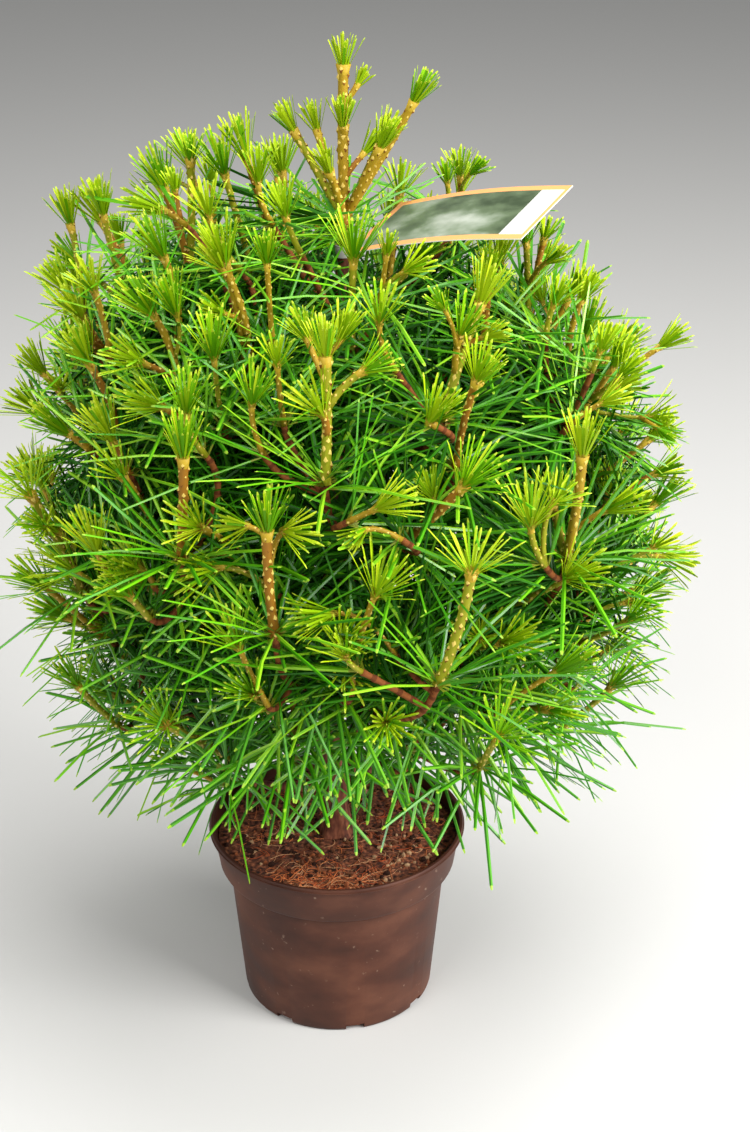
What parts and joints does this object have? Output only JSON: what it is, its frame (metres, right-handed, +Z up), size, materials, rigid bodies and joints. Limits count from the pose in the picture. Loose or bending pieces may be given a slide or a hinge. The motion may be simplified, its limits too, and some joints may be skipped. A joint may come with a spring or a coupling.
{
  "type": "potted umbrella pine",
  "caption": "Umbrella pine in a flared nursery pot: trunk with tiers of boughs, whorls of long needles, upright new shoots with brushes of young needles, and a plant label on a strap.",
  "frame": {"origin": "centre of the flat underside of the pot", "axes": "+Z up along the trunk, the pictured side faces -Y, the label points towards +X and -Y"},
  "size_m": [0.5746, 0.6272, 0.8355],
  "materials": {
    "pot": "brown moulded plastic, slightly dusty and scuffed",
    "compost": "loose dark compost with reddish fibres",
    "bark": "reddish brown bark, finely flaking",
    "foliage": "living needles, dark to lime green, slightly glossy",
    "label": "printed card, orange border on white"
  },
  "bodies": {
    "root": {"pot": "pot", "compost": "compost", "trunk": "bark", "bough_1a": "bark", "bough_1c": "bark", "bough_2a": "bark", "bough_2b": "bark", "bough_2c": "bark", "bough_2d": "bark", "bough_2e": "bark", "bough_3a": "bark", "bough_3b": "bark", "bough_3c": "bark", "bough_3d": "bark", "bough_3e": "bark", "bough_4a": "bark", "bough_4b": "bark", "bough_4c": "bark", "bough_4d": "bark", "bough_4e": "bark", "bough_4f": "bark", "bough_5a": "bark", "bough_5b": "bark", "bough_5c": "bark", "bough_5d": "bark", "bough_5e": "bark", "foliage_1a": "foliage", "foliage_1c": "foliage", "foliage_2a": "foliage", "foliage_2b": "foliage", "foliage_2c": "foliage", "foliage_2d": "foliage", "foliage_2e": "foliage", "foliage_3a": "foliage", "foliage_3b": "foliage", "foliage_3c": "foliage", "foliage_3d": "foliage", "foliage_3e": "foliage", "foliage_4a": "foliage", "foliage_4b": "foliage", "foliage_4c": "foliage", "foliage_4d": "foliage", "foliage_4e": "foliage", "foliage_4f": "foliage", "foliage_5a": "foliage", "foliage_5b": "foliage", "foliage_5c": "foliage", "foliage_5d": "foliage", "foliage_5e": "foliage", "foliage_leader": "foliage", "label": "label"}
  },
  "joints": []
}
